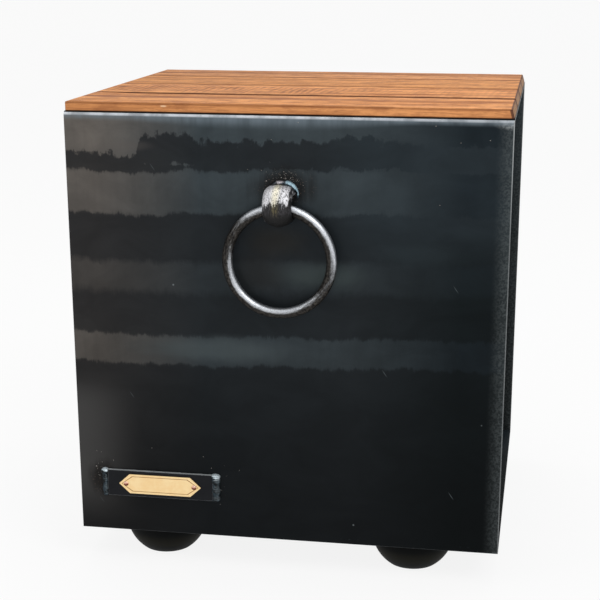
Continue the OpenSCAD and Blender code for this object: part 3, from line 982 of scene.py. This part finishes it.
def bead(path, out, own, closed=False):
    # a rippled bead along a path; out is the way it stands up, own its width, height and ripples
    out = Vector(out).normalized()
    around = own.get("around", weldBead["around"])
    shift = Vector((own["seed"] * weldBead["seedStep"], 0, 0))
    lengths = [0.0]
    for before, after in zip(path, path[1:]):
        lengths.append(lengths[-1] + (after - before).length)
    total = lengths[-1] + ((path[0] - path[-1]).length if closed else 0.0)
    points = []
    for index, (place, length) in enumerate(zip(path, lengths)):
        last = path[(index - 1) % len(path)] if closed or index else path[0]
        following = path[(index + 1) % len(path)] if closed or index < len(path) - 1 else path[-1]
        side = (following - last).normalized().cross(out)
        taper = 1.0
        if not closed:
            near = min(length, total - length) / own["endLength"]
            taper = math.sqrt(max(0.0, 1 - (1 - min(near, 1.0)) ** 2)) + weldBead["tip"]
        profile = own["profile"](length / total) if "profile" in own else (1.0, 1.0)
        lump = 1 + own["lumpDepth"] * math.sin(2 * math.pi * length / own["lumpPitch"] + own["seed"])
        for step in range(around):
            angle = 2 * math.pi * step / around
            sideways, up = math.cos(angle), math.sin(angle)
            phase = length / own["ripplePitch"] + weldBead["arch"] * sideways * sideways
            ripple = 1 - own["rippleDepth"] * (phase - math.floor(phase))
            grain = (place + out * up * 0.002 + side * sideways * 0.003) * weldBead["grain"] + shift
            rough = 1 + own["rough"] * noise.noise(grain)
            wide = own["width"] / 2 * profile[0] * lump * rough * taper
            high = own["depth"] * taper
            if up > 0:
                high = own["height"] * profile[1] * lump * rough * ripple * taper
            points.append(place + side * (sideways * wide) + out * (up * high))
    return points, facesBetween(len(path), around, closed, flipped=True)


seatBoard = {
    "lowChamfer": 0.0010,
    # the corners of a planed edge in chamfers from the side and down from the top
    "roundedEdge": [(0.0, 1.0), (0.13, 0.5), (0.5, 0.13), (1.0, 0.0)],
    "inner": [0.009, 0.018, 0.030],       # further points across the top, from either side
    "cupReach": 0.032,                    # how far in from the far edge a cupped board starts to fall
    "cupStart": 0.05,                     # a cupped board is flat again at its left end
    "leftCut": 0.0005,
    "ease": 0.0006,                       # how much the right end is eased along its top
    "shear": 0.03,                        # the length over which the sloping right end is drawn out
    "endGaps": [0.0, 0.0003, 0.0008, 0.0014, 0.0020, 0.0030, 0.0050, 0.0100, 0.0180, 0.0240, 0.0300],
    "wobble": 0.00025,                    # how far the planed edges stray
    "stations": 70,
}


def boardSection():
    # the outline of a board seen from its end: up the near side, over the top and down the far side
    low, high = boardFinish["bottom"], boardFinish["top"]
    upper, lower = boardFinish["chamfer"], seatBoard["lowChamfer"]
    half = [(lower, low), (lower * 0.3, low + lower * 0.3), (0.0, low + lower)]
    half += [(inset * upper, high - drop * upper) for inset, drop in seatBoard["roundedEdge"]]
    half += [(inner, high) for inner in seatBoard["inner"]]
    return [(-1, inset, z) for inset, z in half] + [(1, inset, z) for inset, z in reversed(half)]


def boardPlaces():
    # the places along a board where its outline is drawn, close together at its ends
    (left, right), shear, count = boardFinish["ends"], seatBoard["shear"], seatBoard["stations"]
    places = [left + gap for gap in seatBoard["endGaps"]] + [right - gap for gap in seatBoard["endGaps"]]
    places += [left + shear + (right - left - 2 * shear) * step / count for step in range(1, count)]
    return sorted(places)


def boardMesh(own):
    middle, half = (own["near"] + own["far"]) / 2, (own["far"] - own["near"]) / 2
    low, high = boardFinish["bottom"], boardFinish["top"]
    left, right = boardFinish["ends"]
    section, places = boardSection(), boardPlaces()
    points = []
    for x in places:
        gap = min(x - left, right - x)
        cut, ease, slope = seatBoard["leftCut"], seatBoard["leftCut"], 0.0
        if x > 0:
            cut, ease, slope = boardFinish["cornerCut"], seatBoard["ease"], boardFinish["endSlope"]
        cut, ceiling = max(0.0, cut - gap), high - max(0.0, ease - gap)
        lean = slope * max(0.0, 1 - gap / seatBoard["shear"])
        for side, inset, z in section:
            upward = (z - low) / (high - low)
            stray = noise.noise(Vector((x * 40, side * 9 + middle * 50, z * 200))) * seatBoard["wobble"]
            y = middle + side * (half - inset - cut + stray * upward)
            cup = max(0.0, 1 - (own["far"] - y) / seatBoard["cupReach"]) ** 2 * own["cupped"] * upward
            cup *= min(1.0, (x - left) / seatBoard["cupStart"])
            points.append(Vector((x - lean * upward, y, min(z, ceiling) - cup - abs(stray) * upward * 0.6)))
    return points, facesBetween(len(places), len(section))


eyeBar = {
    "middle": (-0.003, -0.234, 0.442),    # middle of the bend
    "leg": 0.014, "bore": 0.012, "edge": 0.0025, "crown": 0.011, "halfWidth": 0.016,
    "square": (1.5, 2.5),                 # bottom and top: 2 is a round crown, more has squarer shoulders
    "across": 36, "legSteps": 6, "bendSteps": 44,
}


def crownOutline(square):
    # places across the crown: offset from its middle and height over the bore
    outline = [(eyeBar["halfWidth"], 0.0)]
    for step in range(eyeBar["across"] + 1):
        turn = math.pi * step / eyeBar["across"]
        offset = math.copysign(abs(math.cos(turn)) ** (2 / square), math.cos(turn)) * eyeBar["halfWidth"]
        rising = abs(math.sin(turn)) ** (2 / square)
        outline.append((offset, eyeBar["edge"] + rising * (eyeBar["crown"] - eyeBar["edge"])))
    return [*outline, (-eyeBar["halfWidth"], 0.0)]


def eyeMesh():
    legSteps, bendSteps = eyeBar["legSteps"], eyeBar["bendSteps"]
    low, high = eyeBar["square"]
    # turn and distance behind the bend, from the upper leg's end round the bend to the lower one's
    stations = [(math.pi / 2, eyeBar["leg"] * (1 - step / legSteps)) for step in range(legSteps)]
    stations += [(math.pi * (0.5 - step / bendSteps), 0.0) for step in range(bendSteps + 1)]
    stations += [(-turn, back) for turn, back in reversed(stations[:legSteps])]
    points = []
    for turn, back in stations:
        outward = Vector((0, -math.cos(turn), math.sin(turn)))
        for offset, height in crownOutline(low + (high - low) * (0.5 + turn / math.pi)):
            place = Vector(eyeBar["middle"]) + Vector((offset, back, 0))
            points.append(place + outward * (eyeBar["bore"] + height))
    return points, facesBetween(len(stations), eyeBar["across"] + 3)


eyeBead = {
    "middle": (-0.0018, -0.22, 0.4459),   # centre of the arc round the crown of the bar, on the panel
    "radius": 0.0199,
    "turns": (-58, 60),                   # degrees from straight up
    "tail": (0.0070, 0.0004, 18),         # it runs on down the right side: length, bow, steps
    "lowMiddle": (-0.003, -0.22, 0.4383), "lowRadius": 0.0187, "lowTurns": (-40, 40),
    "upper": {
        "width": 0.0062, "height": 0.0042, "depth": 0.0008, "ripplePitch": 0.0019, "rippleDepth": 0.16,
        "lumpPitch": 0.012, "lumpDepth": 0.10, "rough": 0.16, "endLength": 0.005, "seed": 1.4},
    "lower": {
        "width": 0.0040, "height": 0.0026, "depth": 0.0008, "ripplePitch": 0.0016, "rippleDepth": 0.10,
        "lumpPitch": 0.009, "lumpDepth": 0.06, "rough": 0.10, "endLength": 0.003, "seed": 4.1},
}


def eyeProfile(share):
    # thin at the left, fullest over the right shoulder
    shoulder, top = swell(share, 0.62, 0.14), swell(share, 0.34, 0.07)
    return 0.45 + 0.85 * shoulder + 0.55 * top, 0.55 + 0.65 * shoulder + 0.55 * top


def eyeBeads():
    first, last = eyeBead["turns"]
    upper = arc(eyeBead["middle"], eyeBead["radius"], range(first, last + 1))
    end = upper[-1]
    length, bow, steps = eyeBead["tail"]
    for index in range(1, steps + 1):
        share = index / steps
        upper.append(end + Vector((bow * math.sin(math.pi * share), 0, -length * share)))
    first, last = eyeBead["lowTurns"]
    lower = arc(eyeBead["lowMiddle"], eyeBead["lowRadius"], range(first, last + 1), up=-1)
    return joinedMeshes([
        bead(upper, (0, -1, 0), {**eyeBead["upper"], "profile": eyeProfile}),
        bead(lower, (0, -1, 0), eyeBead["lower"]),
    ])


strapBead = {
    "leftPlace": -0.2192, "rightPlace": -0.0840, "low": 0.0825, "high": 0.1185, "step": 0.0004,
    "left": {
        "width": 0.0088, "height": 0.0046, "depth": 0.0008, "ripplePitch": 0.0024, "rippleDepth": 0.10,
        "lumpPitch": 0.011, "lumpDepth": 0.08, "rough": 0.12, "endLength": 0.0035, "seed": 2.2},
    "right": {
        "width": 0.0125, "height": 0.0060, "depth": 0.0008, "ripplePitch": 0.0028, "rippleDepth": 0.12,
        "lumpPitch": 0.012, "lumpDepth": 0.10, "rough": 0.12, "endLength": 0.0045, "seed": 0.4},
}


def topHeavy(share):
    # the welder stopped at the top, which left a fuller blob there
    blob = swell(share, 0.92, 0.09)
    return 0.88 + 0.22 * blob, 0.86 + 0.34 * blob


def strapBeads():
    parts = []
    for end in ("left", "right"):
        x = strapBead[end + "Place"]
        low, high = (Vector((x, box["panel"], strapBead[level])) for level in ("low", "high"))
        path = line(low, high, strapBead["step"])
        parts.append(bead(path, (0, -1, 0), {**strapBead[end], "profile": topHeavy}))
    return joinedMeshes(parts)


footBead = {
    "centres": [(-0.1605, -0.16), (0.1455, -0.16), (-0.1605, 0.16), (0.1455, 0.16)],
    "radius": 0.0500, "count": 400,
    "own": {"width": 0.0058, "height": 0.0034, "depth": 0.0008, "ripplePitch": 0.0022, "rippleDepth": 0.16,
            "lumpPitch": 0.0131, "lumpDepth": 0.05, "rough": 0.10, "seed": 3.3, "around": 10},
}


def footBeads():
    parts = []
    for x, y in footBead["centres"]:
        path = []
        for index in range(footBead["count"]):
            angle = 2 * math.pi * index / footBead["count"]
            outward = Vector((math.cos(angle), math.sin(angle), 0))
            path.append(Vector((x, y, box["low"])) + footBead["radius"] * outward)
        parts.append(bead(path, (0, 0, -1), footBead["own"], closed=True))
    return joinedMeshes(parts)


stitchBead = {
    "places": (-0.21, -0.07, 0.07, 0.21), "wall": 0.217, "floor": 0.043, "reach": 0.02, "lift": 0.0012,
    "step": 0.0006,
    "own": {"width": 0.0092, "height": 0.0026, "depth": 0.0024, "ripplePitch": 0.0024, "rippleDepth": 0.16,
            "lumpPitch": 0.011, "lumpDepth": 0.06, "rough": 0.10, "endLength": 0.004, "seed": 5.5,
            "around": 10},
}


def stitchBeads():
    parts = []
    reach = Vector((stitchBead["reach"], 0, 0))
    for side in (-1, 1):
        out = Vector((0, -side, 1)).normalized()
        for x in stitchBead["places"]:
            corner = Vector((x, side * stitchBead["wall"], stitchBead["floor"])) + out * stitchBead["lift"]
            path = line(corner - reach, corner + reach, stitchBead["step"])
            parts.append(bead(path, out, stitchBead["own"]))
    return joinedMeshes(parts)


handleRing = {
    "centre": (-0.003, -0.234, 0.380), "radius": 0.059, "bar": 0.006,
    "steps": 220, "around": 28,
    "dent": 0.00022,                      # how far the hammered bar strays from a true round
    "dentSize": 75.0, "seed": 11.0,
}


def ringMesh():
    points = []
    centre, steps, around = Vector(handleRing["centre"]), handleRing["steps"], handleRing["around"]
    for step in range(steps):
        turn = 2 * math.pi * step / steps
        outward = Vector((math.sin(turn), 0, math.cos(turn)))
        for index in range(around):
            angle = 2 * math.pi * index / around
            normal = outward * math.cos(angle) + Vector((0, -1, 0)) * math.sin(angle)
            place = centre + outward * handleRing["radius"] + normal * handleRing["bar"]
            dent = noise.noise(place * handleRing["dentSize"] * 4 + Vector((handleRing["seed"], 0, 0)))
            points.append(place - normal * handleRing["dent"] * (0.5 + 0.5 * dent))
    return points, facesBetween(steps, around, closed=True)


spatter = {
    # drops of weld metal that stuck to the front panel: place along X, height, radius
    "drops": [
        (-0.0197, 0.4672, 0.0008), (-0.2301, 0.1187, 0.0010), (-0.2086, 0.1277, 0.0006),
        (-0.0984, 0.1387, 0.0005), (-0.1607, 0.1459, 0.0005), (-0.0890, 0.1249, 0.0006),
        (-0.0553, 0.1241, 0.0005), (-0.2262, 0.1076, 0.0007), (0.1663, 0.5311, 0.0006),
        (0.1934, 0.5135, 0.0006), (0.2246, 0.5171, 0.0007), (0.1726, 0.4456, 0.0006),
        (0.0162, 0.5320, 0.0006), (-0.0137, 0.5128, 0.0006),
    ],
    "crowds": [                           # middle, spread, how many, largest radius
        ((-0.006, 0.4735), (0.012, 0.0050), 56, 0.00062), ((0.016, 0.468), (0.006, 0.005), 24, 0.00058),
        ((-0.226, 0.108), (0.006, 0.014), 14, 0.0006), ((-0.076, 0.104), (0.004, 0.014), 8, 0.0005),
    ],
    "rearAbove": 0.4,                     # crowds above this height are at an eye, so the rear has some too
    "rearSize": 0.7,
    "flat": 0.6,                          # height of a drop as a share of its radius
    "sunk": 0.0002,
    "around": 10, "rows": 3, "seed": 20,
}


def dropMesh(x, z, radius):
    around, rows = spatter["around"], spatter["rows"]
    base, out, points = Vector((x, box["panel"], z)), Vector((0, -1, 0)), []
    for row in range(rows):
        tilt = math.pi / 2 * row / rows
        height = radius * spatter["flat"] * math.sin(tilt) - (0.0 if row else spatter["sunk"])
        for step in range(around):
            turn = 2 * math.pi * step / around
            outward = Vector((math.cos(turn), 0, math.sin(turn)))
            points.append(base + outward * radius * math.cos(tilt) + out * height)
    points.append(base + out * radius * spatter["flat"])
    top = (rows - 1) * around
    faces = facesBetween(rows, around, flipped=True)[:-1]
    faces += [(top + step, top + (step + 1) % around, rows * around) for step in range(around)]
    return points, faces


def spatterMesh():
    chance = random.Random(spatter["seed"])
    parts = [dropMesh(*drop) for drop in spatter["drops"]]
    for (middleX, middleZ), (spreadX, spreadZ), count, largest in spatter["crowds"]:
        for index in range(count):
            x = middleX + chance.gauss(0, spreadX)
            z = middleZ + chance.gauss(0, spreadZ)
            parts.append(dropMesh(x, z, largest * (0.35 + 0.65 * chance.random() ** 2)))
            if middleZ > spatter["rearAbove"] and index % 2:
                parts.append(turnedRound(dropMesh(x, z, largest * spatter["rearSize"])))
    return joinedMeshes(parts)


for board, own in boards.items():
    name = board.replace("slat_", "") + "Board"
    addPiece(name, boardMesh(own), finishes[board], "frame", board + "_wood", board, sharp=True)
print("boards made")
addPair("eyeBar", eyeMesh(), finishes["eye_front"], ("frame", "frame"), "eye_steel", "eye", sharp=True)
addPair("eyeBeads", eyeBeads(), finishes["eye_welds_front"], ("frame", "frame"), "weld_metal", "eye_welds")
addPiece("strapBeads", strapBeads(), finishes["strap_welds"], "frame", "weld_metal", "strap_welds")
addPiece("footBeads", footBeads(), finishes["foot_welds"], "frame", "weld_metal", "foot_welds")
addPiece("stitchBeads", stitchBeads(), finishes["base_welds"], "frame", "weld_metal", "base_welds")
addPiece("spatterDrops", spatterMesh(), finishes["spatter"], "frame", "weld_metal")
print("weld beads and spatter made")
handles = ("front_handle", "rear_handle")
addPair("hammeredRing", ringMesh(), finishes["ring_front"], handles, "ring_steel", "ring")
print("rings made")


# Room

room = {
    "floorColor": "f4f4f4",
    "floorReach": 60.0,
    "floorLift": 0.87,                    # how much plain white the floor shows of its own
    # how bright the sky is from level to straight up
    "sky": [(0.0, 0.95), (0.05, 0.95), (0.25, 0.55), (0.6, 0.55), (1.0, 0.95)],
}


def makeFloor():
    mesh = bpy.data.meshes.new("floor")
    shape = bmesh.new()
    bmesh.ops.create_circle(shape, cap_ends=True, segments=64, radius=room["floorReach"])
    shape.to_mesh(mesh)
    shape.free()
    floor = bpy.data.objects.new("floor", mesh)
    bpy.context.scene.collection.objects.link(floor)
    material = bpy.data.materials.new("paleFloor")
    material.use_nodes = True
    tree = material.node_tree
    shader = tree.nodes["Principled BSDF"]
    plug(room["floorColor"], shader.inputs["Base Color"])
    shader.inputs["Roughness"].default_value = 0.9
    shader.inputs["Specular IOR Level"].default_value = 0.1
    white = tree.nodes.new("ShaderNodeEmission")
    white.inputs["Color"].default_value = (1, 1, 1, 1)
    ray = tree.nodes.new("ShaderNodeLightPath").outputs
    seen = maths("MAXIMUM", ray["Is Camera Ray"], ray["Is Glossy Ray"])
    seen = maths("MAXIMUM", seen, ray["Is Transmission Ray"])
    mix = addNode("ShaderNodeMixShader", {
        0: times(seen, room["floorLift"]), 1: shader.outputs[0], 2: white.outputs[0]})
    plug(mix.outputs[0], tree.nodes["Material Output"].inputs["Surface"])
    mesh.materials.append(material)


def makeSky():
    world = bpy.data.worlds.new("studio")
    bpy.context.scene.world = world
    world.use_nodes = True
    nodes = world.node_tree.nodes
    up = axes(nodes.new("ShaderNodeTexCoord").outputs["Generated"])[2]
    plug(ramp(up, room["sky"]), nodes["Background"].inputs["Color"])


lamps = {
    # where it stands, what it faces, width, height, brightness of its face
    "keyLamp": {"at": (1.5, -1.5, 2.3), "to": (0, -0.1, 0.3), "size": (1.3, 0.8), "glow": 5.0},
    "fillLamp": {"at": (-2.2, -1.8, 1.5), "to": (0, -0.1, 0.3), "size": (1.2, 1.2), "glow": 1.6},
    "topLamp": {"at": (0.0, 0.2, 2.6), "to": (0, 0, 0.3), "size": (1.6, 0.9), "glow": 2.6},
}


def makeLamps():
    for name, own in lamps.items():
        data = bpy.data.lights.new(name, "AREA")
        data.shape = "RECTANGLE"
        data.size, data.size_y = own["size"]
        data.energy = own["glow"] * math.pi * own["size"][0] * own["size"][1]
        lamp = bpy.data.objects.new(name, data)
        bpy.context.scene.collection.objects.link(lamp)
        lamp.location = own["at"]
        aim = Vector(own["to"]) - Vector(own["at"])
        lamp.rotation_euler = aim.to_track_quat("-Z", "Y").to_euler()


makeFloor()
makeSky()
makeLamps()
bpy.context.scene.view_settings.view_transform = "Standard"
print("room, sky and lamps made")
